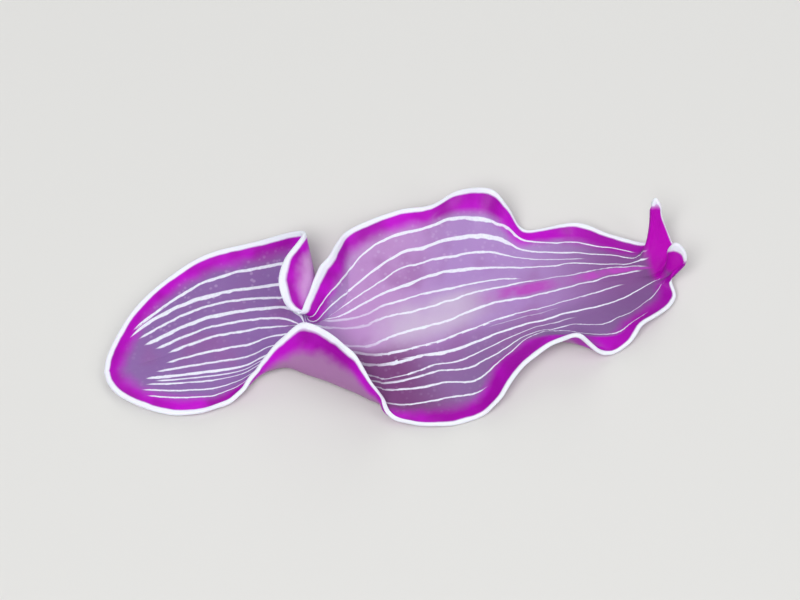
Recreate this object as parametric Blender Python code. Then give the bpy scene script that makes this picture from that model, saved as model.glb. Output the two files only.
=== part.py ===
"""A purple-striped marine flatworm at life size, crawling, as a still model in nine parts.

The animal is one thin sheet. Ribs run from the spine, a curve along the belly, out to the edge of the
body. Each rib leaves the spine flat on the floor and then curls to meet the posed edge, which is set by a
few named landmarks with handles that say which way the rib arrives there. The sheet is thickened to both
sides and its folds are made one skin. Thin cuts then divide it where the animal's parts meet.
+X points to the head, +Y to the animal's left side, +Z is up, and the floor is at Z = 0.
"""

import bmesh
import bpy
import numpy as np
from mathutils import Matrix

# Driving sizes, in millimetres. The model is worked out in millimetres and set down in metres.
MM = 0.001
FLAT_LENGTH = 31.0  # the body laid out flat
FLAT_WIDTH = 13.6
END_FAN = 2.5  # how far the spine stops short of each end, where the ribs fan round it
CENTRE_THICK = 0.9
EDGE_THICK = 0.5
THIN_POWER = 3  # how fast the sheet thins away from the spine
END_THIN = 0.7  # it thins towards both ends too, from where the sine of the turn is this small
ROUNDING = 0.25  # width of the rounded edge
LEAVE_SHARE = 0.35  # a plain rib's handle at the spine, as a share of its flat length
MEET_SHARE = (0.3, 0.3, 0.75)  # its handle at the edge, as shares of the way back to the spine on the floor
BELLY_SNAP = 0.04  # what lies this close to the floor lies on it
GRAIN = 0.1  # step with which the folded sheet is traced
KEPT_SHARE = 0.085  # share of the traced triangles that are kept
CUT = 0.3  # gap between parts

RIBS_PER_SIDE = 120
# Shares of a rib, from the spine to the edge.
RINGS = (0, 0.13, 0.26, 0.38, 0.49, 0.59, 0.68, 0.76, 0.84, 0.91, 0.965, 1)

# The spine on the floor: along, across.
SPINE = ((-13.0, -3.8), (-7.4, -2.35), (-3.0, -1.65), (2.0, -1.4), (8.3, 0.1), (13.0, 1.3))


def mark(turn, along, across, height, leave=None, meet=None):
    """A landmark of the posed edge. The turn goes round the flat body in degrees, 0 at the tail and 180 in
    front. Leave is the handle of the rib where it leaves the spine, and meet its handle where it meets the
    edge. Where they are left out, the rib just spreads outwards."""
    return turn, (along, across, height), leave, meet


TAIL_TIP = mark(0, -15.2, -4.5, 0.5)
FRONT = mark(180, 14.5, 2.25, 0.85)
LEFT_EDGE = {
    "tail tip": TAIL_TIP,
    "left of the tail tip": mark(9, -15.08, -3.5, 0.5),
    "tail side": mark(27, -13.6, -0.5, 0.6),
    "hind shoulder": mark(44, -10.6, 2.1, 0.8),
    "foot of the waist fold": mark(55, -7.5, 2.95, 1.2, (0.4, 1.9), (0.1, -1.6, -0.8)),
    "crest of the waist fold": mark(61, -5.06, 2.65, 2.6, (1.0, 1.6), (0.5, -1.1, -1.5)),
    "lip of the waist fold": mark(63.5, -5.95, 0.74, 3.0, (1.3, 0.9), (2.35, 0.1, -0.9)),
    "middle of the lip": mark(65.5, -6.25, -0.5, 2.8, (0.9, 0.5), (2.5, 0.0, -1.1)),
    "low end of the lip": mark(67, -5.9, -1.45, 2.2, (0.6, 0.3), (1.9, 0.15, -0.7)),
    "pit of the waist": mark(68.7, -5.2, -1.75, 1.85, (0.35, 0.25), (1.1, 0.35, -0.25)),
    "edge leaving the pit": mark(70, -4.9, -1.2, 2.0, (0.35, 0.35), (1.1, 0.3, -0.4)),
    "edge rising from the waist": mark(71.3, -4.6, -0.4, 2.25, (0.35, 0.5), (1.2, 0.1, -0.95)),
    "edge over the fold": mark(73, -4.2, 0.42, 2.5, (0.3, 0.8), (1.3, -0.3, -1.4)),
    "edge past the fold": mark(75, -3.7, 1.3, 2.35, (0.2, 1.1), (1.1, -0.7, -1.6)),
    "fore shoulder": mark(78, -2.9, 3.1, 1.8, (0.1, 1.7), (0.5, -1.3, -1.2)),
    "fore side": mark(88, 0.0, 4.7, 1.5),
    "shallow dip": mark(93, 1.6, 5.0, 1.5),
    "start of the side crest": mark(98, 3.2, 5.5, 2.2),
    "side crest": mark(103, 4.8, 5.2, 2.7),
    "drop from the crest": mark(107, 5.6, 4.7, 2.0),
    "side trough": mark(113, 6.6, 4.0, 0.6),
    "neck crest": mark(125, 9.3, 3.95, 1.4),
    "neck side": mark(136, 11.2, 3.5, 0.9),
    "outer foot of the tentacle": mark(151, 13.0, 3.08, 0.93),
    "outer edge rising": mark(154.5, 13.1, 3.33, 1.6, None, (0.03, -0.5, -1.0)),
    "outer edge of the tentacle": mark(157.2, 13.12, 3.74, 2.4, None, (0.08, -0.8, -1.65)),
    "outer side of the tip": mark(159.8, 13.04, 4.08, 3.16, None, (0.13, -1.05, -2.2)),
    "tip of the tentacle": mark(161.8, 13.28, 4.25, 3.38, None, (0.08, -1.15, -2.4)),
    "inner side of the tip": mark(163.8, 13.54, 4.08, 3.12, None, (0.0, -1.05, -2.15)),
    "inner edge of the tentacle": mark(166.3, 13.67, 3.68, 2.45, None, (-0.08, -0.9, -1.6)),
    "inner edge falling": mark(169.5, 13.95, 3.28, 1.8, None, (-0.22, -0.7, -1.05)),
    "inner foot of the tentacle": mark(173, 14.22, 2.9, 1.25, None, (-0.35, -0.5, -0.6)),
    "brow": mark(176.5, 14.42, 2.6, 0.95),
    "front": FRONT,
}
RIGHT_EDGE = {
    "tail tip": TAIL_TIP,
    "right of the tail tip": mark(5.5, -14.95, -5.2, 0.5),
    "tail side": mark(15, -14.3, -5.9, 0.5),
    "hind corner": mark(33, -12.3, -6.8, 0.5),
    "hind side": mark(47, -10.2, -6.9, 0.5),
    "hind side drawing in": mark(54, -8.95, -6.45, 0.6),
    "start of the flap": mark(59, -8.1, -5.75, 0.9, (-0.2, -1.3), (0.1, 0.4, -0.6)),
    "foot of the flap": mark(62, -7.5, -5.0, 1.3, (-0.2, -1.2), (0.1, 0.0, -1.0)),
    "flap rising": mark(64.5, -6.9, -4.35, 1.8, (-0.2, -1.1), (0.1, -0.8, -1.5)),
    "flap high": mark(67.5, -6.05, -3.65, 2.5, (-0.1, -1.2), (0, -1.9, -2.2)),
    "top of the flap": mark(71, -4.96, -2.95, 3.0, (0, -1.9), (0, -3.6, -2.8)),
    "lip of the flap": mark(74.5, -3.8, -3.48, 3.1, (0, -2.2), (0, -3.6, -2.9)),
    "bend of the lip": mark(77, -3.05, -4.1, 3.1, (0, -2.4), (0, -3.3, -2.9)),
    "front of the lip": mark(79, -2.27, -4.9, 3.0, (0.1, -2.5), (0, -2.7, -2.8)),
    "flap falling": mark(81.5, -1.48, -5.9, 2.3, (0.1, -2.6), (0, -1.6, -2.1)),
    "low end of the flap": mark(83, -0.91, -6.4, 1.5, (0.1, -2.6), (0, -0.9, -1.4)),
    "end of the flap": mark(84.5, -0.6, -7.05, 0.8),
    "fore corner": mark(87.5, 0.6, -7.5, 0.5),
    "fore side": mark(91, 2.4, -7.55, 0.5),
    "fore turn": mark(97, 4.4, -6.9, 0.5),
    "gather": mark(100, 5.2, -6.25, 1.0),
    "slope": mark(103.5, 5.85, -5.2, 1.4),
    "start of the neck crest": mark(110, 7.8, -3.5, 1.8),
    "neck crest": mark(114.5, 9.1, -3.35, 2.2),
    "drop from the crest": mark(118, 9.9, -3.4, 1.3),
    "neck trough": mark(122, 10.9, -3.4, 0.5),
    "neck gather": mark(127, 11.85, -2.85, 0.6),
    "neck turn": mark(132, 12.5, -2.05, 1.0),
    "cheek": mark(139, 13.5, -1.2, 0.7),
    "front of the cheek": mark(146, 14.22, -0.2, 0.6),
    "outer foot of the tentacle": mark(155, 14.2, 0.5, 0.85, (0.7, -0.45), (-0.45, 0.05, -0.35)),
    "outer bend of the tentacle": mark(157.8, 14.2, 0.85, 1.35, (0.7, -0.35), (-0.4, 0.05, -0.7)),
    "start of the bulge": mark(160, 14.5, 1.08, 1.75, (0.7, -0.28), (-0.6, 0.0, -1.0)),
    "bulge of the tentacle": mark(162, 14.83, 1.2, 2.25, (0.7, -0.2), (-0.8, -0.1, -1.35)),
    "end of the bulge": mark(164, 14.65, 1.32, 2.9, (0.7, -0.12), (-0.5, -0.2, -1.8)),
    "tip of the tentacle": mark(166.2, 14.28, 1.42, 3.3, (0.7, -0.06), (-0.15, -0.3, -2.1)),
    "inner side of the tip": mark(168.4, 14.0, 1.5, 3.0, (0.7, 0.0), (0.0, -0.35, -1.85)),
    "inner edge of the tentacle": mark(171, 13.95, 1.6, 2.3, (0.7, 0.06), (0.0, -0.35, -1.3)),
    "inner edge falling": mark(174, 14.1, 1.76, 1.6, None, (-0.2, -0.25, -0.8)),
    "inner foot of the tentacle": mark(177, 14.3, 1.95, 1.1, None, (-0.4, -0.15, -0.4)),
    "front": FRONT,
}

# Where the thin cuts fall along the body, and the height of the cut at each tentacle's root.
BODY_PARTS = ("tail", "hind_body", "waist", "mid_body", "fore_body", "neck", "head")
BODY_CUTS = (-11.8, -8.0, -2.4, 3.0, 8.0, 11.9)
TENTACLE_ROOT = 1.5
BEYOND = 100.0  # a plane this far out cuts nothing


def smooth_curve(places, values, at):
    """Cubic curve through rows of values, with the slope at each from its two neighbours."""
    steps = np.diff(places)
    slopes = np.diff(values, axis=0) / steps[:, None]
    tangents = np.empty_like(values)
    before, after = steps[:-1, None], steps[1:, None]
    tangents[1:-1] = (slopes[:-1] * after + slopes[1:] * before) / (before + after)
    tangents[0], tangents[-1] = slopes[0], slopes[-1]
    i = np.clip(np.searchsorted(places, at, side="right") - 1, 0, len(steps) - 1)
    h = steps[i][:, None]
    u = (np.asarray(at) - places[i])[:, None] / h
    start = values[i] * (1 + 2 * u) * (1 - u) ** 2 + tangents[i] * h * u * (1 - u) ** 2
    return start + values[i + 1] * u**2 * (3 - 2 * u) + tangents[i + 1] * h * u**2 * (u - 1)


def steady_curve(places, values, at):
    """Cubic curve through single values that never overshoots them, so rising values stay rising."""
    steps = np.diff(places)
    slopes = np.diff(values) / steps
    same_way = slopes[:-1] * slopes[1:] > 0
    w1, w2 = 2 * steps[1:] + steps[:-1], steps[1:] + 2 * steps[:-1]
    low = np.where(same_way, slopes[:-1], 1)
    high = np.where(same_way, slopes[1:], 1)
    tangents = np.empty_like(values)
    tangents[1:-1] = np.where(same_way, (w1 + w2) / (w1 / low + w2 / high), 0)
    tangents[0], tangents[-1] = slopes[0], slopes[-1]
    i = np.clip(np.searchsorted(places, at, side="right") - 1, 0, len(steps) - 1)
    h = steps[i]
    u = (np.asarray(at) - places[i]) / h
    start = values[i] * (1 + 2 * u) * (1 - u) ** 2 + tangents[i] * h * u * (1 - u) ** 2
    return start + values[i + 1] * u**2 * (3 - 2 * u) + tangents[i + 1] * h * u**2 * (u - 1)


def spine_foot(turns):
    """Where the rib of each turn starts along the spine."""
    return -(FLAT_LENGTH / 2 - END_FAN) * np.cos(np.radians(turns))


def spine_at(foot):
    """Points of the spine on the floor over each foot, with the unit vectors along and across it."""
    knots = np.array(SPINE)
    probe = 0.01
    across = smooth_curve(knots[:, 0], knots[:, 1:], foot)[:, 0]
    ahead = smooth_curve(knots[:, 0], knots[:, 1:], foot + probe)[:, 0]
    tangent = np.stack([np.full_like(foot, probe), ahead - across], axis=1)
    tangent /= np.linalg.norm(tangent, axis=1)[:, None]
    normal = np.stack([-tangent[:, 1], tangent[:, 0]], axis=1)
    return np.stack([foot, across], axis=1), tangent, normal


def edge_at(landmarks, side, turns):
    """Posed edge at each turn, and the handles with which a rib leaves the spine and meets the edge. The
    curve is paced by the root of the chord, so that sharp bends stay tight."""
    places = np.array([turn for turn, *rest in landmarks.values()], float)
    edges = np.array([edge for turn, edge, *rest in landmarks.values()], float)
    angle = np.radians(places)
    foot, tangent, normal = spine_at(spine_foot(places))
    forwards = tangent * -END_FAN * np.cos(angle)[:, None]
    sideways = normal * side * FLAT_WIDTH / 2 * np.sin(angle)[:, None]
    inwards = np.concatenate([foot - edges[:, :2], EDGE_THICK / 2 - edges[:, 2:]], axis=1)
    leaves, meets = (forwards + sideways) * LEAVE_SHARE, inwards * MEET_SHARE
    for k, (turn, edge, leave, meet) in enumerate(landmarks.values()):
        leaves[k] = leave or leaves[k]
        meets[k] = meet or meets[k]
    chords = np.sqrt(np.linalg.norm(np.diff(edges, axis=0), axis=1))
    pace = np.concatenate([[0], np.cumsum(chords)])
    at = steady_curve(places, pace, turns)
    return (smooth_curve(pace, values, at) for values in (edges, leaves, meets))


def sheet_taper(turns, rings):
    """Thickness of the sheet: full at the spine and thinner outwards and towards both ends."""
    full = np.clip(np.sin(np.radians(turns)) / END_THIN, 0, 1)[:, None] ** 2
    return EDGE_THICK + (CENTRE_THICK - EDGE_THICK) * full * (1 - rings[None] ** 2) ** THIN_POWER


def half_sheet(landmarks, side, turns, rings):
    """Middle surface and half thickness on one side. Each rib is a cubic curve with four controls: the
    spine, its handle on the floor there, its handle at the edge, and the posed edge."""
    foot = spine_at(spine_foot(turns))[0]
    edge, leave, meet = edge_at(landmarks, side, turns)
    start, end = foot + leave, edge + meet
    share = rings[None, :, None]
    weights = (1 - share) ** 3, 3 * (1 - share) ** 2 * share, 3 * (1 - share) * share**2, share**3
    plan = sum(w * p[:, None] for w, p in zip(weights, (foot, start, end[:, :2], edge[:, :2])))
    lift = sum(w[:, :, 0] * (p[:, 2:] - EDGE_THICK / 2) for w, p in zip(weights[2:], (end, edge)))
    taper = sheet_taper(turns, rings) / 2
    middle = np.concatenate([plan, (taper + lift)[:, :, None]], axis=2)
    lengths = np.linalg.norm(np.diff(middle, axis=1), axis=2).sum(axis=1)
    inset = np.clip((1 - rings[None]) * lengths[:, None] / ROUNDING, 0, 1)
    return middle, taper * np.sqrt(1 - (1 - inset) ** 2)


def rib_turns():
    """Turns of the ribs, the same on both sides, evenly spaced along whichever edge runs further there."""
    fine = np.linspace(0, 180, 3601)
    left, right = next(edge_at(LEFT_EDGE, 1, fine)), next(edge_at(RIGHT_EDGE, -1, fine))
    steps = np.maximum(
        np.linalg.norm(np.diff(left, axis=0), axis=1), np.linalg.norm(np.diff(right, axis=0), axis=1)
    )
    travelled = np.concatenate([[0], np.cumsum(steps)])
    return np.interp(np.linspace(0, travelled[-1], RIBS_PER_SIDE + 1), travelled, fine)


def body_surfaces():
    """Upper and lower points of the whole body as a ring of ribs: left side forwards, right side back."""
    turns, rings = rib_turns(), np.array(RINGS, float)
    left, left_half = half_sheet(LEFT_EDGE, 1, turns, rings)
    right, right_half = half_sheet(RIGHT_EDGE, -1, turns, rings)
    middle = np.concatenate([left, right[-2:0:-1]])
    half = np.concatenate([left_half, right_half[-2:0:-1]])
    round_body = np.roll(middle, -1, axis=0) - np.roll(middle, 1, axis=0)
    outwards = np.gradient(middle, axis=1)
    normals = np.cross(round_body, outwards)
    normals[:, 0] = (0, 0, 1)
    normals /= np.linalg.norm(normals, axis=2)[:, :, None]
    upper = middle + normals * half[:, :, None]
    lower = middle - normals * half[:, :, None]
    lower[:, :, 2] = np.where(lower[:, :, 2] < BELLY_SNAP, 0, lower[:, :, 2])
    return upper, lower


def body_mesh():
    """The whole body as one closed mesh, in millimetres. The two surfaces meet along the edge."""
    upper, lower = body_surfaces()
    ribs, rings = upper.shape[:2]
    mesh = bmesh.new()
    spine_top = [mesh.verts.new(upper[k, 0]) for k in range(RIBS_PER_SIDE + 1)]
    spine_under = [mesh.verts.new(lower[k, 0]) for k in range(RIBS_PER_SIDE + 1)]
    rim = [mesh.verts.new(upper[k, -1]) for k in range(ribs)]
    tops, unders = [], []
    for k in range(ribs):
        at_spine = min(k, ribs - k)
        inner = [mesh.verts.new(upper[k, j]) for j in range(1, rings - 1)]
        tops.append([spine_top[at_spine], *inner, rim[k]])
        inner = [mesh.verts.new(lower[k, j]) for j in range(1, rings - 1)]
        unders.append([spine_under[at_spine], *inner, rim[k]])
    for k in range(ribs):
        after = (k + 1) % ribs
        for j in range(rings - 1):
            for rows, facing in ((tops, 1), (unders, -1)):
                a, b = rows[k][j], rows[after][j]
                c, d = rows[after][j + 1], rows[k][j + 1]
                mesh.faces.new((a, b, c)[::facing])
                mesh.faces.new((a, c, d)[::facing])
    mesh.normal_update()
    return mesh


def as_one_skin(mesh):
    """The outer surface of the mesh alone, so that folds which press into each other become one body. It is
    traced again in small grains and then thinned out to few triangles."""
    data = bpy.data.meshes.new("folded")
    mesh.to_mesh(data)
    mesh.free()
    folded = bpy.data.objects.new("folded", data)
    bpy.context.scene.collection.objects.link(folded)
    trace = folded.modifiers.new("trace", "REMESH")
    trace.mode = "VOXEL"
    trace.voxel_size = GRAIN
    few = folded.modifiers.new("few", "DECIMATE")
    few.ratio = KEPT_SHARE
    few.use_collapse_triangulate = True
    traced = bmesh.new()
    traced.from_object(folded, bpy.context.evaluated_depsgraph_get())
    bpy.data.objects.remove(folded)
    for vert in traced.verts:
        if vert.co.z < BELLY_SNAP:
            vert.co.z = 0
    bmesh.ops.dissolve_degenerate(traced, edges=traced.edges, dist=0.001)
    bmesh.ops.triangulate(traced, faces=traced.faces)
    return traced


def keep_largest(mesh):
    """Takes away every closed surface of the mesh but the largest."""
    left, bodies = set(mesh.verts), []
    while left:
        body, edge = set(), {left.pop()}
        while edge:
            body |= edge
            edge = {other for vert in edge for link in vert.link_edges for other in link.verts} - body
        left -= body
        bodies.append(body)
    for body in sorted(bodies, key=len)[:-1]:
        bmesh.ops.delete(mesh, geom=list(body), context="VERTS")


def keep_between(mesh, axis, low, high):
    """Cuts the mesh off below low and above high along an axis, and closes the cuts."""
    for place, facing in ((low, -1), (high, 1)):
        point, normal = [0, 0, 0], [0, 0, 0]
        point[axis], normal[axis] = place, facing
        whole = [*mesh.verts, *mesh.edges, *mesh.faces]
        bmesh.ops.bisect_plane(mesh, geom=whole, plane_co=point, plane_no=normal, clear_outer=True)
        rim = [edge for edge in mesh.edges if edge.is_boundary]
        caps = bmesh.ops.holes_fill(mesh, edges=rim, sides=0)["faces"]
        bmesh.ops.triangulate(mesh, faces=caps, ngon_method="EAR_CLIP")
    keep_largest(mesh)
    bmesh.ops.recalc_face_normals(mesh, faces=mesh.faces)


def material(name, colour, roughness):
    """A finish in one colour."""
    made = bpy.data.materials.new(name)
    made.use_nodes = True
    shader = made.node_tree.nodes["Principled BSDF"]
    shader.inputs["Base Color"].default_value = (*colour, 1)
    shader.inputs["Roughness"].default_value = roughness
    shader.inputs["Metallic"].default_value = 0
    return made


def place(mesh, name, finish, centre):
    """Makes the mesh an object of that name, in metres, with the box's centre over the origin."""
    data = bpy.data.meshes.new(name)
    mesh.to_mesh(data)
    mesh.free()
    data.transform(Matrix.Translation((-centre[0], -centre[1], 0)))
    data.transform(Matrix.Scale(MM, 4))
    data.materials.append(finish)
    data.shade_smooth()
    part = bpy.data.objects.new(name, data)
    bpy.context.scene.collection.objects.link(part)


def main():
    for thing in list(bpy.data.objects):
        bpy.data.objects.remove(thing)
    lilac = material("lilac_body", (0.42, 0.19, 0.50), 0.35)
    magenta = material("magenta_tentacle", (0.50, 0.02, 0.55), 0.35)
    whole = as_one_skin(body_mesh())
    points = np.array([vert.co for vert in whole.verts])
    centre = (points.min(axis=0) + points.max(axis=0)) / 2

    bounds = [-BEYOND, *BODY_CUTS, BEYOND]
    for name, low, high in zip(BODY_PARTS, bounds, bounds[1:]):
        part = whole.copy()
        keep_between(part, 0, low + CUT / 2, high - CUT / 2)
        if name == "head":
            keep_between(part, 2, -BEYOND, TENTACLE_ROOT - CUT / 2)
        place(part, name, lilac, centre)

    between = (FRONT[1][1] + LEFT_EDGE["inner foot of the tentacle"][1][1]) / 2
    for name, low, high in (("tentacle_left", between, BEYOND), ("tentacle_right", -BEYOND, between)):
        part = whole.copy()
        keep_between(part, 0, BODY_CUTS[-1], BEYOND)
        keep_between(part, 1, low, high)
        keep_between(part, 2, TENTACLE_ROOT + CUT / 2, BEYOND)
        place(part, name, magenta, centre)
    whole.free()


main()
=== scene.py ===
import math

import bpy
import numpy as np
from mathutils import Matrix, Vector


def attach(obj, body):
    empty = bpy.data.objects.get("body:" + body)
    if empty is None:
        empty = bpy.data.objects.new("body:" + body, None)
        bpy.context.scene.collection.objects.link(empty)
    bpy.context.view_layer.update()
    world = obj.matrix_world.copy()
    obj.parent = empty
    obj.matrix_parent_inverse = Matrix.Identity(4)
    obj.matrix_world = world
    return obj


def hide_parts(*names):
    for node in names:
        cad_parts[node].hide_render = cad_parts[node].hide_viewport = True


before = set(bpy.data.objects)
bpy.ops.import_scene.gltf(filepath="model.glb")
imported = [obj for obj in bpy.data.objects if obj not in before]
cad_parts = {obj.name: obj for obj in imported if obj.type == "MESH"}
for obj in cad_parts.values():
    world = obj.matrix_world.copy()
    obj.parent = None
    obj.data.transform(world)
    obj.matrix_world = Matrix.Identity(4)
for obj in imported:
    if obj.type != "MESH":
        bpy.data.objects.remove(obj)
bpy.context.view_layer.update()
mm = 0.001  # a millimetre in metres
print("frame loaded")

# The flatworm is one thin sheet. Its numbers are in millimetres, from the middle of the photo's view.
bodyShift = (0.198, 1.044)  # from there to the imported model's origin

sheet = {
    "flatLength": 31.0,  # the body laid out flat
    "flatWidth": 13.6,
    "endFan": 2.5,  # how far the spine stops short of each end
    "restHeight": 0.25,  # an edge given this height lies on the floor
    "centreThick": 0.9,
    "edgeThick": 0.22,
    "thinPower": 3,  # the higher, the nearer the spine the body thins
    "endThin": 0.7,  # it thins to both ends too, from where the sine of the turn is this small
    "rounding": 0.11,  # width of the rounded edge
    "leaveShare": 0.35,  # a rib's own handles, as shares of its way out and back
    "meetShare": (0.3, 0.3, 0.75),
    "bellySnap": 0.03,  # an underside lower than this lies flat on the floor
    "leastHeight": 0.02,  # the upper side stays above this
    "ribsPerSide": 320,
    "rings": 72,
    "ringPower": 1.4,  # crowds the rings towards the edge
    "ripples": (  # height, waves per unit of pace, phase
        (0.06, 0.23, 0.3),
        (0.045, 0.41, 1.1),
        (0.02, 0.9, 2.0),
    ),
    "rippleReach": 1.1,  # how far in from the edge the ripples die out
}

# The spine's curve on the floor, along and across.
spine = ((-13.0, -3.8), (-7.4, -2.35), (-3.0, -1.65), (2.0, -1.4), (8.3, 0.1), (13.0, 1.3))


# Landmarks round the edge, from the tail at turn 0 to the front at turn 180.
def mark(turn, along, across, height, leave=None, meet=None):
    return turn, (along, across, height), leave, meet  # leave and meet are the rib's two handles


tailTip = mark(0, -15.2, -4.5, 0.5)
front = mark(180, 14.5, 2.25, 0.85)
leftEdge = {
    "tail tip": tailTip,
    "left of the tail tip": mark(9, -15.08, -3.5, 0.5),
    "tail side": mark(27, -13.6, -0.5, 0.6),
    "hind shoulder": mark(44, -10.6, 2.1, 0.8),
    "foot of the waist fold": mark(55, -7.5, 2.95, 1.2, (0.4, 1.9), (0.1, -1.6, -0.8)),
    "crest of the waist fold": mark(61, -5.06, 2.65, 2.6, (1.0, 1.6), (0.5, -1.1, -1.5)),
    "lip of the waist fold": mark(63.5, -5.95, 0.74, 3.0, (1.3, 0.9), (2.35, 0.1, -0.9)),
    "middle of the lip": mark(65.5, -6.25, -0.5, 2.8, (0.9, 0.5), (2.5, 0.0, -1.1)),
    "low end of the lip": mark(67, -5.9, -1.45, 2.2, (0.6, 0.3), (1.9, 0.15, -0.7)),
    "pit of the waist": mark(68.7, -5.2, -1.75, 1.85, (0.35, 0.25), (1.1, 0.35, -0.25)),
    "edge leaving the pit": mark(70, -4.9, -1.2, 2.0, (0.35, 0.35), (1.1, 0.3, -0.4)),
    "edge rising from the waist": mark(71.3, -4.6, -0.4, 2.25, (0.35, 0.5), (1.2, 0.1, -0.95)),
    "edge over the fold": mark(73, -4.2, 0.42, 2.5, (0.3, 0.8), (1.3, -0.3, -1.4)),
    "edge past the fold": mark(75, -3.7, 1.3, 2.35, (0.2, 1.1), (1.1, -0.7, -1.6)),
    "fore shoulder": mark(78, -2.9, 3.1, 1.8, (0.1, 1.7), (0.5, -1.3, -1.2)),
    "fore side": mark(88, 0.0, 4.7, 1.5),
    "shallow dip": mark(93, 1.6, 5.0, 1.5),
    "start of the side crest": mark(98, 3.2, 5.5, 2.2),
    "side crest": mark(103, 4.8, 5.2, 2.7),
    "drop from the crest": mark(107, 5.6, 4.7, 2.0),
    "side trough": mark(113, 6.6, 4.0, 0.6),
    "neck crest": mark(125, 9.3, 3.95, 1.4),
    "neck side": mark(136, 11.2, 3.5, 0.9),
    "outer foot of the tentacle": mark(151, 13.08, 3.06, 0.93),
    "outer edge rising": mark(154.5, 13.14, 3.33, 1.6, None, (0.06, -0.5, -1.0)),
    "outer edge of the tentacle": mark(157.2, 13.14, 3.74, 2.4, None, (0.14, -0.8, -1.65)),
    "outer side of the tip": mark(159.8, 13.09, 4.08, 3.16, None, (0.18, -1.05, -2.2)),
    "tip of the tentacle": mark(161.8, 13.28, 4.25, 3.38, None, (0.12, -1.15, -2.4)),
    "inner side of the tip": mark(163.8, 13.54, 4.08, 3.12, None, (0.0, -1.05, -2.15)),
    "inner edge of the tentacle": mark(166.3, 13.67, 3.68, 2.45, None, (-0.08, -0.9, -1.6)),
    "inner edge falling": mark(169.5, 13.95, 3.28, 1.8, None, (-0.22, -0.7, -1.05)),
    "inner foot of the tentacle": mark(173, 14.22, 2.9, 1.25, None, (-0.35, -0.5, -0.6)),
    "brow": mark(176.5, 14.42, 2.6, 0.95),
    "front": front,
}
rightEdge = {
    "tail tip": tailTip,
    "right of the tail tip": mark(5.5, -14.95, -5.2, 0.5),
    "tail side": mark(15, -14.3, -5.9, 0.5),
    "hind corner": mark(33, -12.3, -6.8, 0.5),
    "hind side": mark(47, -10.2, -6.9, 0.5),
    "hind side drawing in": mark(54, -8.95, -6.45, 0.6),
    "start of the flap": mark(59, -8.1, -5.75, 0.9, (-0.2, -1.3), (0.1, 0.4, -0.6)),
    "foot of the flap": mark(62, -7.5, -5.0, 1.3, (-0.2, -1.2), (0.1, 0.0, -1.0)),
    "flap rising": mark(64.5, -6.9, -4.35, 1.8, (-0.2, -1.1), (0.1, -0.8, -1.5)),
    "flap high": mark(67.5, -6.05, -3.65, 2.5, (-0.1, -1.2), (0, -1.9, -2.2)),
    "top of the flap": mark(71, -4.96, -2.95, 3.0, (0, -1.9), (0, -3.6, -2.8)),
    "lip of the flap": mark(74.5, -3.8, -3.48, 3.1, (0, -2.2), (0, -3.6, -2.9)),
    "bend of the lip": mark(77, -3.05, -4.1, 3.1, (0, -2.4), (0, -3.3, -2.9)),
    "front of the lip": mark(79, -2.27, -4.9, 3.0, (0.1, -2.5), (0, -2.7, -2.8)),
    "flap falling": mark(81.5, -1.48, -5.9, 2.3, (0.1, -2.6), (0, -1.6, -2.1)),
    "low end of the flap": mark(83, -0.91, -6.4, 1.5, (0.1, -2.6), (0, -0.8, -1.3)),
    "end of the flap": mark(84.5, -0.6, -7.05, 0.8, (0.08, -2.5), (-0.1, 0.1, -0.6)),
    "fore corner": mark(87.5, 0.6, -7.5, 0.5, (0.0, -2.45), (-0.25, 1.15, -0.25)),
    "fore side": mark(91, 2.4, -7.55, 0.5),
    "fore turn": mark(97, 4.4, -6.9, 0.5),
    "gather": mark(100, 5.2, -6.25, 1.0),
    "slope": mark(103.5, 5.85, -5.2, 1.4),
    "start of the neck crest": mark(110, 7.8, -3.5, 1.8),
    "neck crest": mark(114.5, 9.1, -3.35, 2.2),
    "drop from the crest": mark(118, 9.9, -3.4, 1.3),
    "neck trough": mark(122, 10.9, -3.4, 0.5),
    "neck gather": mark(127, 11.85, -2.85, 0.6),
    "neck turn": mark(132, 12.5, -2.05, 1.0),
    "cheek": mark(139, 13.55, -1.15, 0.7),
    "front of the cheek": mark(146, 14.34, -0.05, 0.62),
    "outer foot of the tentacle": mark(155, 14.15, 0.72, 0.88, (1.0, -0.72), (-0.4, 0.0, -0.4)),
    "outer bend of the tentacle": mark(157.8, 14.24, 0.86, 1.35, (0.98, -0.62), (-0.3, 0.0, -0.85)),
    "start of the bulge": mark(160, 14.52, 1.02, 1.78, (0.98, -0.55), (-0.45, -0.05, -1.25)),
    "bulge of the tentacle": mark(162, 14.83, 1.17, 2.3, (0.98, -0.48), (-0.65, -0.15, -1.7)),
    "end of the bulge": mark(164, 14.68, 1.4, 2.92, (0.98, -0.42), (-0.4, -0.3, -2.2)),
    "tip of the tentacle": mark(166.2, 14.24, 1.56, 3.3, (0.98, -0.34), (0.0, -0.45, -2.5)),
    "inner side of the tip": mark(168.4, 13.98, 1.6, 3.02, (0.96, -0.26), (0.15, -0.5, -2.2)),
    "inner edge of the tentacle": mark(171, 13.95, 1.65, 2.3, (0.93, -0.15), (0.1, -0.45, -1.55)),
    "inner edge falling": mark(174, 14.1, 1.76, 1.6, None, (-0.2, -0.25, -0.8)),
    "inner foot of the tentacle": mark(177, 14.3, 1.95, 1.1, None, (-0.4, -0.15, -0.4)),
    "front": front,
}


def cubicThrough(places, values, slopes, at):
    # cubic between each two places, from the values and slopes at both
    before = np.clip(np.searchsorted(places, at, side="right") - 1, 0, len(places) - 2)
    after = before + 1
    column = (-1,) + (1,) * (values.ndim - 1)
    step = np.diff(places)[before].reshape(column)
    part = (np.asarray(at) - places[before]).reshape(column) / step
    start = values[before] * (1 + 2 * part) * (1 - part) ** 2 + slopes[before] * step * part * (1 - part) ** 2
    return start + values[after] * part**2 * (3 - 2 * part) + slopes[after] * step * part**2 * (part - 1)


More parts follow.
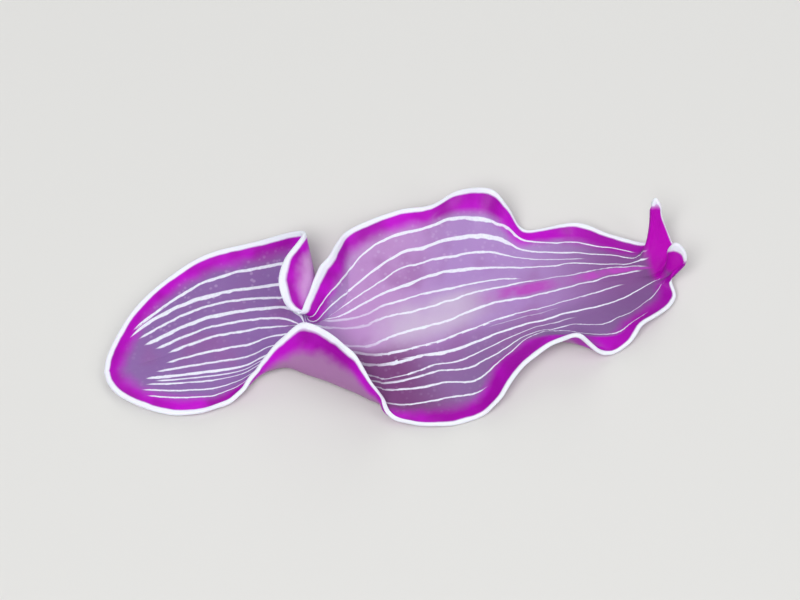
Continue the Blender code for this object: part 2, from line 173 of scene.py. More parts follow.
def smoothCurve(places, values, at):
    # rows of values: each slope is the mean of its neighbours' chord slopes, weighted by the other one's step
    steps = np.diff(places)
    chords = np.diff(values, axis=0) / steps[:, None]
    before, after = steps[:-1, None], steps[1:, None]
    slopes = np.empty_like(values)
    slopes[1:-1] = (chords[:-1] * after + chords[1:] * before) / (before + after)
    slopes[0], slopes[-1] = chords[0], chords[-1]
    return cubicThrough(places, values, slopes, at)


def steadyCurve(places, values, at):
    # single values: each slope is a weighted harmonic mean, so that rising values stay rising
    steps = np.diff(places)
    chords = np.diff(values) / steps
    sameWay = chords[:-1] * chords[1:] > 0
    early, late = 2 * steps[1:] + steps[:-1], steps[1:] + 2 * steps[:-1]
    low = np.where(sameWay, chords[:-1], 1)
    high = np.where(sameWay, chords[1:], 1)
    slopes = np.empty_like(values)
    slopes[1:-1] = np.where(sameWay, (early + late) / (early / low + late / high), 0)
    slopes[0], slopes[-1] = chords[0], chords[-1]
    return cubicThrough(places, values, slopes, at)


def spineFoot(turns):
    # foot = -(half length - fan) * cos(turn)
    return -(sheet["flatLength"] / 2 - sheet["endFan"]) * np.cos(np.radians(turns))


def spineAt(foot):
    # the spine's curve on the floor over each foot, with unit vectors along and across it
    knots = np.array(spine)
    probe = 0.01
    across = smoothCurve(knots[:, 0], knots[:, 1:], foot)[:, 0]
    ahead = smoothCurve(knots[:, 0], knots[:, 1:], foot + probe)[:, 0]
    tangent = np.stack([np.full_like(foot, probe), ahead - across], axis=1)
    tangent /= np.linalg.norm(tangent, axis=1)[:, None]
    normal = np.stack([-tangent[:, 1], tangent[:, 0]], axis=1)
    return np.stack([foot, across], axis=1), tangent, normal


def edgeAt(landmarks, side, turns):
    # edge and both handles at each turn, as smooth curves over the pace
    # pace = running sum of the square root of each chord between landmarks
    places = np.array([turn for turn, *rest in landmarks.values()], float)
    edges = np.array([edge for turn, edge, *rest in landmarks.values()], float)
    angle = np.radians(places)
    foot, tangent, normal = spineAt(spineFoot(places))
    forwards = tangent * -sheet["endFan"] * np.cos(angle)[:, None]
    sideways = normal * side * sheet["flatWidth"] / 2 * np.sin(angle)[:, None]
    inwards = np.concatenate([foot - edges[:, :2], sheet["restHeight"] - edges[:, 2:]], axis=1)
    leaves, meets = (forwards + sideways) * sheet["leaveShare"], inwards * sheet["meetShare"]
    for k, (turn, edge, leave, meet) in enumerate(landmarks.values()):
        leaves[k] = leave or leaves[k]
        meets[k] = meet or meets[k]
    chords = np.sqrt(np.linalg.norm(np.diff(edges, axis=0), axis=1))
    pace = np.concatenate([[0], np.cumsum(chords)])
    at = steadyCurve(places, pace, turns)
    return [smoothCurve(pace, values, at) for values in (edges, leaves, meets)] + [at]


def halfSheet(landmarks, side, turns, shares):
    # rib = cubic with four controls: foot, foot + leave, edge + meet, edge
    # height = the rib's own lift + half the thickness, and the edge carries a sum of sine ripples
    foot = spineAt(spineFoot(turns))[0]
    edge, leave, meet, pace = edgeAt(landmarks, side, turns)
    start, end = foot + leave, edge + meet
    share = shares[None, :, None]
    weights = (1 - share) ** 3, 3 * (1 - share) ** 2 * share, 3 * (1 - share) * share**2, share**3
    controls = foot, start, end[:, :2], edge[:, :2]
    plan = sum(weight * control[:, None] for weight, control in zip(weights, controls))
    raised = (control[:, 2:] - sheet["restHeight"] for control in (end, edge))
    lift = sum(weight[:, :, 0] * height for weight, height in zip(weights[2:], raised))
    fromEnds = np.clip(np.sin(np.radians(turns)) / sheet["endThin"], 0, 1)[:, None] ** 2
    full = fromEnds * (1 - shares[None] ** 2) ** sheet["thinPower"]
    taper = (sheet["edgeThick"] + (sheet["centreThick"] - sheet["edgeThick"]) * full) / 2
    middle = np.concatenate([plan, (taper + lift)[:, :, None]], axis=2)
    lengths = np.linalg.norm(np.diff(middle, axis=1), axis=2).sum(axis=1)
    toEdge = (1 - shares[None]) * lengths[:, None]
    inset = np.clip(toEdge / sheet["rounding"], 0, 1)
    fade = np.clip(1 - toEdge / sheet["rippleReach"], 0, 1) ** 2
    ripple = sum(high * np.sin(waves * pace * math.tau + phase) for high, waves, phase in sheet["ripples"])
    return middle, taper * np.sqrt(1 - (1 - inset) ** 2), toEdge, fade * fromEnds * ripple[:, None]


def ribTurns():
    # turns at even steps along whichever edge runs further there
    fine = np.linspace(0, 180, 3601)  # every twentieth of a degree
    edges = edgeAt(leftEdge, 1, fine)[0], edgeAt(rightEdge, -1, fine)[0]
    steps = np.maximum(*(np.linalg.norm(np.diff(edge, axis=0), axis=1) for edge in edges))
    travelled = np.concatenate([[0], np.cumsum(steps)])
    return np.interp(np.linspace(0, travelled[-1], sheet["ribsPerSide"] + 1), travelled, fine)


# Where each white line runs across the body, at these places along it: 0 on the midline, 1 at the left edge
# and -1 at the right one.
lines = {
    "along": (-13, -9, -4.3, -3.8, -3.4, -3.0, -2.6, -1.8, -1, 0,
              1.2, 2.5, 4, 5.5, 6.6, 7.4, 8.2, 9.2, 10.3, 11.7, 13.2),
    "left": (  # from the outermost line to the midline
        (0.6, 0.7, 0.7, 0.712, 0.655, 0.63, 0.678, 0.742, 0.772, 0.788,
         0.806, 0.79, 0.803, 0.868, 0.82, 0.755, 0.72, 0.735, 0.729, 0.725, 0.64),
        (0.53, 0.48, 0.495, 0.497, 0.445, 0.362, 0.38, 0.467, 0.535, 0.608,
         0.628, 0.64, 0.695, 0.745, 0.66, 0.59, 0.558, 0.557, 0.54, 0.522, 0.34),
        (0.38, 0.37, 0.22, 0.2, 0.197, 0.188, 0.216, 0.281, 0.358, 0.452,
         0.487, 0.497, 0.565, 0.6, 0.525, 0.46, 0.43, 0.43, 0.42, 0.4, 0.29),
        (0.24, 0.24, 0.1, 0.05, 0.034, 0.055, 0.087, 0.152, 0.212, 0.27,
         0.335, 0.369, 0.398, 0.42, 0.37, 0.335, 0.325, 0.343, 0.295, 0.272, 0.23),
        (0.13, 0.13, 0.03, 0.0, -0.008, -0.005, -0.002, 0.03, 0.093, 0.138,
         0.187, 0.213, 0.245, 0.255, 0.205, 0.185, 0.2, 0.205, 0.23, 0.24, 0.17),
        (0.03, 0.03, -0.04, -0.06, -0.07, -0.075, -0.074, -0.055, -0.013, 0.024,
         0.062, 0.11, 0.152, 0.162, 0.164, 0.157, 0.153, 0.145, 0.178, 0.208, 0.125),
    ),
    "right": (  # from the midline to the outermost line
        (-0.1, -0.12, -0.16, -0.185, -0.2, -0.207, -0.21, -0.207, -0.18, -0.13,
         -0.088, -0.057, 0.003, 0.014, -0.001, 0.0, 0.003, 0.009, 0.035, 0.081, 0.1),
        (-0.2, -0.25, -0.26, -0.26, -0.26, -0.255, -0.25, -0.27, -0.283, -0.27,
         -0.24, -0.2, -0.17, -0.139, -0.137, -0.131, -0.129, -0.132, -0.108, -0.085, -0.08),
        (-0.25, -0.3, -0.31, -0.305, -0.3, -0.29, -0.285, -0.31, -0.32, -0.307,
         -0.28, -0.255, -0.213, -0.198, -0.179, -0.173, -0.175, -0.2, -0.2, -0.19, -0.17),
        (-0.3, -0.36, -0.36, -0.35, -0.34, -0.33, -0.325, -0.347, -0.357, -0.347,
         -0.327, -0.33, -0.327, -0.308, -0.28, -0.26, -0.259, -0.299, -0.333, -0.303, -0.25),
        (-0.36, -0.42, -0.42, -0.41, -0.4, -0.4, -0.4, -0.445, -0.478, -0.466,
         -0.423, -0.44, -0.462, -0.427, -0.355, -0.325, -0.33, -0.4, -0.45, -0.42, -0.4),
        (-0.42, -0.48, -0.48, -0.47, -0.46, -0.455, -0.455, -0.49, -0.51, -0.51,
         -0.485, -0.54, -0.59, -0.526, -0.465, -0.4, -0.43, -0.575, -0.643, -0.613, -0.592),
        (-0.54, -0.6, -0.56, -0.55, -0.54, -0.535, -0.53, -0.55, -0.575, -0.602,
         -0.6, -0.68, -0.7, -0.58, -0.5, -0.475, -0.6, -0.765, -0.855, -0.8, -0.78),
        (-0.67, -0.72, -0.68, -0.67, -0.66, -0.66, -0.66, -0.68, -0.732, -0.74,
         -0.745, -0.8, -0.84, -0.8, -0.75, -0.7, -0.78, -0.9, -0.93, -0.93, -0.92),
    ),
    # half widths in millimetres, and where along the body each line starts and ends
    "leftWidth": (0.092, 0.112, 0.068, 0.094, 0.066, 0.062),
    "leftSpan": ((-14.0, 12.8), (-14.1, 13.5), (-13.6, 9.9), (-13.2, 13.4), (-12.6, 6.6), (-12, 13.2)),
    "rightWidth": (0.07, 0.07, 0.032, 0.095, 0.05, 0.06, 0.06, 0.06),
    "rightSpan": (
        (-12.2, 12.9), (-12.8, 11.7), (4.0, 8.1), (-13.4, 13.7),
        (-13.0, 8.5), (-13.5, 13.8), (-13.8, 11.4), (-13.6, 2.6),
    ),
    "fadeLength": 0.45,  # how long a line takes to end
    "neckShare": 0.62,  # share of their width that the lines keep on the neck
    "neckReach": (4.5, 8.0),  # where along the body they thin to that
    "softness": 0.05,  # how soft their sides are
    "fullness": 0.35,  # how white they are at their half width
    "wave": 0.12,  # how far they sway, where the lines beside them leave room
    "tremble": 0.02,  # the same, in smaller steps
    "swayRoom": (0.1, 0.7),  # gaps where they start to sway, and where they do so in full
    "widthPatches": (0.3, 0.7),  # the noise from their least width to their most
    "widthChange": (0.85, 1.2),  # and those two, as shares of the given width
}


def lineCells(flatAlong, flatAcross):
    # cell = how many lines lie below the point, with whole numbers on the lines and shares of the gap between
    tracks = np.array(lines["right"][::-1] + lines["left"][::-1])
    places = np.array(lines["along"], float)
    tracks = smoothCurve(places, tracks.T, np.clip(flatAlong.ravel(), places[0], places[-1])).T
    tracks = np.concatenate([np.full((1, tracks.shape[1]), -1.0), tracks, np.full((1, tracks.shape[1]), 1.0)])
    across = flatAcross.ravel()
    below = np.clip((tracks <= across).sum(axis=0), 1, len(tracks) - 1) - 1
    column = np.arange(len(across))
    low, high = tracks[below, column], tracks[below + 1, column]
    cell = below + np.clip((across - low) / (high - low), 0, 1)
    widths = np.array([0, *lines["rightWidth"][::-1], *lines["leftWidth"][::-1], 0])
    spans = np.array([(0, 0), *lines["rightSpan"][::-1], *lines["leftSpan"][::-1], (0, 0)], float)
    nearest = np.rint(cell).astype(int)
    first, last = spans[nearest].T
    along, fade = flatAlong.ravel(), lines["fadeLength"]
    strength = np.clip((along - first) / fade, 0, 1) * np.clip((last - along) / fade, 0, 1)
    shape = flatAlong.shape
    return cell.reshape(shape), (high - low).reshape(shape), (widths[nearest] * strength).reshape(shape)


# Width of the white edge in millimetres at each turn. Below zero there is none.
whiteEdge = {
    "left": (
        (0, 0.28), (40, 0.3), (60, 0.28), (64, 0.2), (75, 0.26), (100, 0.27), (107, 0.22), (120, 0.21),
        (149, 0.21), (151.5, 0.18), (153.5, -0.06), (158.5, -0.06), (161, 0.25), (164, 0.12), (168, 0.06),
        (174, 0.05), (180, 0.06),
    ),
    "right": (
        (0, 0.28), (50, 0.25), (62, 0.17), (75, 0.17), (85, 0.2), (100, 0.19), (110, 0.16), (118, 0.18),
        (150, 0.17), (154.5, 0.15), (156.5, -0.06), (161, -0.06), (163, 0.2), (166, 0.3), (170, 0.14),
        (174, 0.05), (180, 0.06),
    ),
    "wave": 0.035,  # how far its width wanders, from one end of the noise to the other
    "wavePatches": (0.2, 0.8),
    "softness": 0.09,
}


def rimWidths(turns):
    # straight lines between the given widths
    left, right = (np.interp(turns, *np.transpose(whiteEdge[side])) for side in ("left", "right"))
    return np.concatenate([left, right[-2:0:-1]])[:, None]


def flatwormSurface():
    # two parameters, turn and share; upper and lower = middle +- unit normal * half thickness
    turns = ribTurns()
    shares = 1 - (1 - np.linspace(0, 1, sheet["rings"])) ** sheet["ringPower"]
    left = halfSheet(leftEdge, 1, turns, shares)
    right = halfSheet(rightEdge, -1, turns, shares)
    middle, half, toEdge, ripple = (np.concatenate([a, b[-2:0:-1]]) for a, b in zip(left, right))
    roundBody = np.roll(middle, -1, axis=0) - np.roll(middle, 1, axis=0)
    normals = np.cross(roundBody, np.gradient(middle, axis=1))
    normals[:, 0] = (0, 0, 1)  # straight up on the spine
    normals /= np.linalg.norm(normals, axis=2)[:, :, None]
    middle = middle + normals * ripple[:, :, None]
    upper, lower = middle + normals * half[:, :, None], middle - normals * half[:, :, None]
    lower[:, :, 2] = np.where(lower[:, :, 2] < sheet["bellySnap"], 0, lower[:, :, 2])
    upper[:, :, 2] = np.maximum(upper[:, :, 2], sheet["leastHeight"])
    angle = np.radians(np.concatenate([turns, turns[-2:0:-1]]))[:, None]
    side = np.where(np.arange(len(middle)) <= sheet["ribsPerSide"], 1, -1)[:, None]
    halfLength, halfWidth = sheet["flatLength"] / 2, sheet["flatWidth"] / 2
    flatAlong = -np.cos(angle) * (halfLength - sheet["endFan"] + shares * sheet["endFan"])
    roundness = np.clip(1 - (flatAlong / halfLength) ** 2, 1e-4, 1)  # never quite 0, at the two ends
    widthThere = halfWidth * np.sqrt(roundness)
    flatAcross = np.clip(side * shares * halfWidth * np.sin(angle) / widthThere, -1, 1)
    cell, gap, width = lineCells(flatAlong, flatAcross)
    return upper, lower, {
        "cell": cell,
        "gap": gap * widthThere,
        "lineWidth": width,
        "toEdge": toEdge,
        "along": flatAlong,
        "rimWidth": np.repeat(rimWidths(turns), len(shares), axis=1),
    }


def closedMesh(name, upper, lower, fields):
    # grid point (rib, ring): both surfaces share the edge's points, and the two sides share the spine's
    # numbered as the spine's points, upper and lower, then the upper rings, the lower rings and the edge
    ribs, rings = upper.shape[:2]
    spineRib = np.minimum(np.arange(ribs), ribs - np.arange(ribs))
    spineCount, inner = sheet["ribsPerSide"] + 1, rings - 2
    topIndex = np.empty((ribs, rings), int)
    underIndex = np.empty((ribs, rings), int)
    topIndex[:, 0] = spineRib
    underIndex[:, 0] = spineCount + spineRib
    topIndex[:, 1:-1] = 2 * spineCount + np.arange(ribs * inner).reshape(ribs, inner)
    underIndex[:, 1:-1] = 2 * spineCount + ribs * inner + np.arange(ribs * inner).reshape(ribs, inner)
    topIndex[:, -1] = underIndex[:, -1] = 2 * spineCount + 2 * ribs * inner + np.arange(ribs)
    points = np.empty((topIndex.max() + 1, 3))
    points[underIndex] = lower
    points[topIndex] = upper
    values = {key: np.empty(len(points)) for key in fields}
    for key, field in fields.items():
        values[key][underIndex] = field
        values[key][topIndex] = field

    def quads(index):
        after = np.roll(index, -1, axis=0)
        return np.stack([index[:, :-1], after[:, :-1], after[:, 1:], index[:, 1:]], axis=2).reshape(-1, 4)

    tops, unders = quads(topIndex), quads(underIndex)[:, ::-1]
    faces = np.concatenate([tops, unders])
    triangles = np.concatenate([faces[:, [0, 1, 2]], faces[:, [0, 2, 3]]])
    triangles[len(tops):2 * len(tops)] = unders[:, [0, 1, 3]]  # the same diagonal as above
    triangles[3 * len(tops):] = unders[:, [1, 2, 3]]
    points[:, :2] += bodyShift
    mesh = bpy.data.meshes.new(name)
    mesh.vertices.add(len(points))
    mesh.vertices.foreach_set("co", (points * mm).astype(np.float32).ravel())
    mesh.loops.add(triangles.size)
    mesh.loops.foreach_set("vertex_index", triangles.astype(np.int32).ravel())
    mesh.polygons.add(len(triangles))
    mesh.polygons.foreach_set("loop_start", np.arange(0, triangles.size, 3, dtype=np.int32))
    mesh.update(calc_edges=True)
    mesh.polygons.foreach_set("use_smooth", np.ones(len(mesh.polygons), bool))
    corner = np.empty(len(mesh.loops), np.int32)
    mesh.loops.foreach_get("vertex_index", corner)
    isTop = np.repeat(np.tile(np.repeat([1.0, 0.0], len(tops)), 2), 3)  # one value a corner
    for layer, (first, second) in {
        "lineMap": (values["cell"], values["gap"]),
        "edgeMap": (values["toEdge"], values["lineWidth"]),
        "bodyMap": (values["along"], values["rimWidth"]),
    }.items():
        pairs = np.stack([first[corner], second[corner]], axis=1)
        mesh.uv_layers.new(name=layer).data.foreach_set("uv", pairs.astype(np.float32).ravel())
    back = mesh.attributes.new("back", "FLOAT", "CORNER")
    back.data.foreach_set("value", isTop.astype(np.float32))
    return mesh


def colour(red, green, blue):
    # display colour to linear: ((c + 0.055) / 1.055) ** 2.4
    return tuple(((c / 255 + 0.055) / 1.055) ** 2.4 for c in (red, green, blue)) + (1.0,)


flesh = {
    "lilac": colour(176, 140, 200),
    "hind": colour(142, 106, 168),
    "neck": colour(134, 84, 146),
    "waist": colour(196, 148, 202),
    # painted shade: the near side of the fore body is darker and greyer
    "nearSide": colour(122, 88, 140),
    "blotches": colour(150, 92, 158),
    # painted shade: dark mauve in the pit between the flap and the fore body
    "pit": colour(116, 56, 112),
    "gut": colour(204, 186, 214),
    "streak": colour(186, 76, 190),
    "spots": colour(206, 182, 220),
    "magenta": colour(196, 12, 206),
    "deepMagenta": colour(162, 3, 166),
    "headMagenta": colour(190, 5, 186),
    "white": colour(240, 242, 255),
    "under": colour(206, 150, 212),
    "flapUnder": colour(170, 120, 170),
    "bandFades": (1.55, 0.55),  # the magenta band is gone this far in from the edge, and full at the next
    "underBandFades": (1.05, 0.4),
    "bandWave": 0.25,  # how far the band's inner side wanders
    "spotStep": 0.34,  # small pale spots, this far apart
    "spotSize": 0.09,
    "spotFades": (1.4, 0.5),  # where they are gone and full, in shares of their size
    "spotStrength": 0.4,
    "blotchSize": 2.2,  # widths of the uneven patches, from broad to grain
    "waveSize": 0.9,
    "fineSize": 0.3,
    "grainSize": 0.12,
    "bumpHeight": 0.03,
    "bumpStrength": 0.5,
    "lineRelief": 0.6,  # how much of the bump the white lines, the fine patches and the grain give
    "fineRelief": 1.0,
    "grainRelief": 0.5,
}

# Each zone is a product of smooth ramps. A ramp says what it reads, where it starts and where it is full,
# and its least and its most where they aren't 0 and 1. Cells are counted from the near edge to the far one.
zones = {
    "neck": (("along", 6.0, 12.0),),
    "hind": (("along", -1.0, -7.0),),
    "waist": (("along", 3.0, -1.0, 0.0, 0.65), ("along", -5.0, -2.5)),
    # painted shade over the near side of the fore body
    "nearSide": (("cell", 8.5, 3.5, 0.0, 0.75), ("along", -5.0, -1.0)),
    "blotches": (("broad", 0.48, 0.75, 0.0, 0.5),),
    # painted shade in the pit by the flap, on the near side
    "pit": (("along", 1.4, -0.8, 0.0, 0.8), ("along", -4.5, -2.5), ("cell", 8.3, 6.6)),
    "gut": (
        ("fromMiddle", 2.0, 0.3),
        ("along", -2.5, 0.5),
        ("along", 6.0, 2.5),
        ("broad", 0.3, 0.62, 0.4, 0.9),
    ),
    "midStreak": (("along", 3.6, 6.4), ("along", 8.6, 7.2, 0.3, 1.0)),
    "headStreak": (("along", 8.3, 10.2),),
    "streakWidth": (("fromMiddle", 0.5, 0.2), ("wavy", 0.3, 0.6, 0.45, 0.95)),
    "spotted": (("wavy", 0.4, 0.6, 0.2, 1.0), ("along", 9.0, 5.0), ("cell", 10.5, 12.5, 0.25, 1.0)),
    "deepPatches": (("broad", 0.35, 0.65),),
    "deepFront": (("along", 6.0, 11.0),),
    "widerBand": (("along", 1.8, 3.2), ("along", 7.0, 5.0), ("cell", 3.0, 2.0, 0.0, 0.45)),
    "farCrest": (("cell", 14.0, 14.4), ("along", 0.2, 1.4)),
    "nearNeck": (("cell", 1.95, 1.55), ("along", 7.0, 8.5)),
    "brow": (("along", 12.9, 13.6), ("cell", 3.5, 5.5)),
    "tentacles": (("along", 13.1, 13.7), ("height", 0.8, 1.4)),
    "tips": (("along", 12.0, 12.6), ("height", 2.7, 3.2)),
    "unevenWhite": (("grain", 0.3, 0.6, 0.84, 0.98),),
    # painted shade: the white lines dim where they run into the pit by the flap
    "pitShadeOnLines": (("along", -0.2, -1.8), ("along", -4.8, -3.6), ("cell", 11.5, 9.5, 0.0, 0.55)),
    "farUnder": (("cell", 7.0, 10.0),),
}

wetness = {
    "Roughness": 0.46,
    "IOR": 1.38,
    "Specular IOR Level": 0.18,
    "Coat Weight": 0.06,
    "Coat Roughness": 0.18,
    "Subsurface Weight": 0.25,
    "Subsurface Radius": (1.0, 0.55, 0.9),
    "Subsurface Scale": 0.25 * mm,
}


def newMaterial(name):
    # a material and its shader
    made = bpy.data.materials.new(name)
    made.use_nodes = True
    return made, made.node_tree.nodes["Principled BSDF"]


def fill(tree, socket, value):
    # a link where the value comes from a node, and the value itself where it is a number or a colour
    if isinstance(value, bpy.types.NodeSocket):
        tree.links.new(value, socket)
    else:
        socket.default_value = value


def sums(tree, operation, *values, clamp=False):
    # one step of arithmetic
    node = tree.nodes.new("ShaderNodeMath")
    node.operation = operation
    node.use_clamp = clamp
    for socket, value in zip(node.inputs, values):
        fill(tree, socket, value)
    return node.outputs[0]


def ramp(tree, value, low, high, toLow=0.0, toHigh=1.0, smooth=True):
    # from toLow at low to toHigh at high, level beyond both
    node = tree.nodes.new("ShaderNodeMapRange")
    node.interpolation_type = "SMOOTHSTEP" if smooth else "LINEAR"
    given = {"Value": value, "From Min": low, "From Max": high, "To Min": toLow, "To Max": toHigh}
    for name, wanted in given.items():
        fill(tree, node.inputs[name], wanted)
    return node.outputs["Result"]


def sway(tree, patches, reach):
    # from -reach to reach, in step with the patches
    return ramp(tree, patches, 0.0, 1.0, -reach, reach, smooth=False)


def blendColour(tree, share, below, above):
    # below * (1 - share) + above * share
    node = tree.nodes.new("ShaderNodeMix")
    node.data_type = "RGBA"
    for socket, value in zip((node.inputs[0], node.inputs[6], node.inputs[7]), (share, below, above)):
        fill(tree, socket, value)
    return node.outputs[2]


def unevenPatches(tree, place, size, detail=2.0):
    # smooth noise round one half, in patches of about the given width
    node = tree.nodes.new("ShaderNodeTexNoise")
    fill(tree, node.inputs["Vector"], place)
    node.inputs["Scale"].default_value = 1 / (size * mm)
    node.inputs["Detail"].default_value = detail
    return node.outputs["Fac"]


def mapPair(tree, layer):
    # the two numbers that one UV map holds
    uv = tree.nodes.new("ShaderNodeUVMap")
    uv.uv_map = layer
    split = tree.nodes.new("ShaderNodeSeparateXYZ")
    tree.links.new(uv.outputs[0], split.inputs[0])
    return split.outputs[0], split.outputs[1]


def flatwormMaterial():
    # tones laid over each other, each by its zone's share, then the lines, the underside and the white edge
    made, shader = newMaterial("wet striped flesh")
    tree = made.node_tree
    place = tree.nodes.new("ShaderNodeTexCoord").outputs["Object"]
    split = tree.nodes.new("ShaderNodeSeparateXYZ")
    tree.links.new(place, split.inputs[0])
    cell, gap = mapPair(tree, "lineMap")
    toEdge, lineWidth = mapPair(tree, "edgeMap")
    along, rimWidth = mapPair(tree, "bodyMap")
    wavy = unevenPatches(tree, place, flesh["waveSize"])
    fine = unevenPatches(tree, place, flesh["fineSize"])
    grain = unevenPatches(tree, place, flesh["grainSize"], detail=3.0)
    reads = {
        "along": along,
        "cell": cell,
        "height": sums(tree, "MULTIPLY", split.outputs[2], 1 / mm),
        "fromMiddle": sums(tree, "ABSOLUTE", sums(tree, "SUBTRACT", cell, len(lines["right"]) + 0.5)),
        "broad": unevenPatches(tree, place, flesh["blotchSize"]),
        "wavy": wavy,
        "grain": grain,
    }

    def zone(name):
        # product of the zone's ramps
        share = 1.0
        for read, *limits in zones[name]:
            share = sums(tree, "MULTIPLY", ramp(tree, reads[read], *limits), share)
        return share

    # the upper side's tones, with painted shade on the near side and in the pit by the flap, the pink streak
    # on the midline and small pale spots
    skin = flesh["lilac"]
    for name in ("neck", "hind", "waist", "nearSide", "blotches", "pit", "gut"):
        skin = blendColour(tree, zone(name), skin, flesh[name])
    streak = sums(tree, "MAXIMUM", zone("midStreak"), zone("headStreak"))
    streak = sums(tree, "MULTIPLY", streak, zone("streakWidth"))
    skin = blendColour(tree, streak, skin, flesh["streak"])
    dots = tree.nodes.new("ShaderNodeTexVoronoi")
    tree.links.new(place, dots.inputs["Vector"])
    dots.inputs["Scale"].default_value = 1 / (flesh["spotStep"] * mm)
    size = flesh["spotSize"] / flesh["spotStep"]
    fades = [size * share for share in flesh["spotFades"]]
    spots = ramp(tree, dots.outputs["Distance"], *fades, 0.0, flesh["spotStrength"])
    skin = blendColour(tree, sums(tree, "MULTIPLY", spots, zone("spotted")), skin, flesh["spots"])

    # the magenta band along the edge, which fills the far crest, the near side of the neck and the head
    deep = sums(tree, "MAXIMUM", zone("deepPatches"), zone("deepFront"))
    magenta = blendColour(tree, deep, flesh["magenta"], flesh["deepMagenta"])
    inwards = sums(tree, "ADD", toEdge, sway(tree, wavy, flesh["bandWave"]))
    band = ramp(tree, sums(tree, "SUBTRACT", inwards, zone("widerBand")), *flesh["bandFades"])
    for name in ("farCrest", "nearNeck"):
        band = sums(tree, "MAXIMUM", band, zone(name))
    skin = blendColour(tree, band, skin, magenta)
    head = sums(tree, "MAXIMUM", zone("brow"), zone("tentacles"))
    skin = blendColour(tree, head, skin, flesh["headMagenta"])

    # the white lines: distance to the nearest whole cell, in millimetres, against the line's half width
    bend = sums(tree, "ADD", sway(tree, wavy, lines["wave"]), sway(tree, fine, lines["tremble"]))
    bend = sums(tree, "MULTIPLY", bend, ramp(tree, gap, *lines["swayRoom"]))
    bend = sums(tree, "DIVIDE", bend, sums(tree, "MAXIMUM", gap, lines["swayRoom"][0]))
    moved = sums(tree, "ADD", cell, bend)
    apart = sums(tree, "ABSOLUTE", sums(tree, "SUBTRACT", moved, sums(tree, "ROUND", moved)))
    apart = sums(tree, "MULTIPLY", apart, gap)
    uneven = ramp(tree, wavy, *lines["widthPatches"], *lines["widthChange"], smooth=False)
    thick = sums(tree, "MULTIPLY", lineWidth, uneven)
    thick = sums(tree, "MULTIPLY", thick, ramp(tree, along, *lines["neckReach"], 1.0, lines["neckShare"]))
    line = sums(tree, "DIVIDE", sums(tree, "SUBTRACT", thick, apart), lines["softness"])
    line = sums(tree, "ADD", line, lines["fullness"], clamp=True)
    line = sums(tree, "MULTIPLY", line, ramp(tree, thick, 0.0, lines["softness"]))
    line = sums(tree, "MULTIPLY", line, zone("unevenWhite"))
    # painted shade: the white lines are dimmed in the pit by the flap
    line = sums(tree, "MULTIPLY", line, sums(tree, "SUBTRACT", 1.0, zone("pitShadeOnLines")))
    skin = blendColour(tree, line, skin, flesh["white"])

    # the underside: plain, with the band again
    under = blendColour(tree, zone("farUnder"), flesh["flapUnder"], flesh["under"])
    under = blendColour(tree, ramp(tree, inwards, *flesh["underBandFades"]), under, magenta)
    back = tree.nodes.new("ShaderNodeAttribute")
    back.attribute_name = "back"
    skin = blendColour(tree, back.outputs["Fac"], under, skin)

    # the white edge and the white tips of the tentacles
    wave = whiteEdge["wave"]
    wander = ramp(tree, wavy, *whiteEdge["wavePatches"], -wave, wave, smooth=False)
    rim = sums(tree, "SUBTRACT", sums(tree, "ADD", rimWidth, wander), toEdge)
    rim = sums(tree, "DIVIDE", rim, whiteEdge["softness"])
    rim = sums(tree, "ADD", rim, 0.5, clamp=True)
    skin = blendColour(tree, sums(tree, "MAXIMUM", rim, zone("tips")), skin, flesh["white"])
    tree.links.new(skin, shader.inputs["Base Color"])

    for name, value in wetness.items():
        shader.inputs[name].default_value = value
    bump = tree.nodes.new("ShaderNodeBump")
    bump.inputs["Strength"].default_value = flesh["bumpStrength"]
    bump.inputs["Distance"].default_value = flesh["bumpHeight"] * mm
    relief = sums(tree, "MULTIPLY", line, flesh["lineRelief"])
    relief = sums(tree, "ADD", relief, sums(tree, "MULTIPLY", fine, flesh["fineRelief"]))
    relief = sums(tree, "ADD", relief, sums(tree, "MULTIPLY", grain, flesh["grainRelief"]))
    tree.links.new(relief, bump.inputs["Height"])
    tree.links.new(bump.outputs[0], shader.inputs["Normal"])
    return made


upper, lower, fields = flatwormSurface()
skinMesh = closedMesh("flatworm_skin", upper, lower, fields)
flatworm = bpy.data.objects.new("flatworm_skin", skinMesh)
bpy.context.scene.collection.objects.link(flatworm)
skinMesh.materials.append(flatwormMaterial())
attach(flatworm, "root")
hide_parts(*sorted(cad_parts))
print("flatworm built,", len(skinMesh.polygons), "triangles")


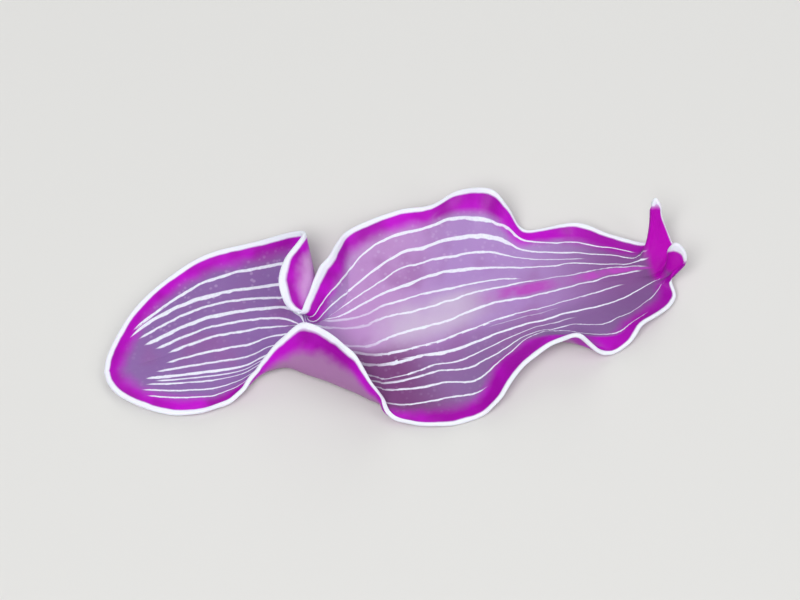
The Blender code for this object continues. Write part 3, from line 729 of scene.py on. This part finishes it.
studio = {
    "floorSize": 3.0,
    "floorColour": colour(222, 221, 218),
    "floorRoughness": 0.8,
    "worldColour": colour(225, 228, 232),
    "worldStrength": 0.30,
    "lights": {  # place, size and power
        "key": ((-0.08, -0.18, 0.34), 0.20, 1.02),
        "fill": ((0.30, -0.08, 0.26), 0.30, 0.52),
        "rear": ((0.02, 0.34, 0.22), 0.30, 0.40),
    },
    "cameraDistance": 0.16,
    "cameraElevation": 60.0,
    "lens": 138.0,
    "sensorWidth": 36.0,
    "clipStart": 0.005,
}


def floorMesh():
    # a square in the plane z = 0, size on each side
    half = studio["floorSize"] / 2
    mesh = bpy.data.meshes.new("floor")
    corners = [(-half, -half, 0), (half, -half, 0), (half, half, 0), (-half, half, 0)]
    mesh.from_pydata(corners, [], [(0, 1, 2, 3)])
    return mesh


floor = bpy.data.objects.new("floor", floorMesh())
bpy.context.scene.collection.objects.link(floor)
floorPaint, floorShader = newMaterial("pale floor")
floorShader.inputs["Base Color"].default_value = studio["floorColour"]
floorShader.inputs["Roughness"].default_value = studio["floorRoughness"]
floor.data.materials.append(floorPaint)

target = Vector((bodyShift[0] * mm, bodyShift[1] * mm, 0))
for name, (place, size, power) in studio["lights"].items():
    data = bpy.data.lights.new(name, "AREA")
    data.size, data.energy = size, power
    lamp = bpy.data.objects.new(name, data)
    lamp.location = Vector(place)
    lamp.rotation_euler = (target - lamp.location).to_track_quat("-Z", "Y").to_euler()
    bpy.context.scene.collection.objects.link(lamp)
world = bpy.data.worlds.new("studio")
world.use_nodes = True
world.node_tree.nodes["Background"].inputs["Color"].default_value = studio["worldColour"]
world.node_tree.nodes["Background"].inputs["Strength"].default_value = studio["worldStrength"]
bpy.context.scene.world = world

tilt = math.radians(studio["cameraElevation"])
camera = bpy.data.objects.new("camera", bpy.data.cameras.new("camera"))
camera.location = target + Vector((0, -math.cos(tilt), math.sin(tilt))) * studio["cameraDistance"]
camera.rotation_euler = (target - camera.location).to_track_quat("-Z", "Y").to_euler()
camera.data.lens = studio["lens"]
camera.data.sensor_width = studio["sensorWidth"]
camera.data.clip_start = studio["clipStart"]
bpy.context.scene.collection.objects.link(camera)
bpy.context.scene.camera = camera
bpy.context.scene.view_settings.view_transform = "Standard"
print("studio set")
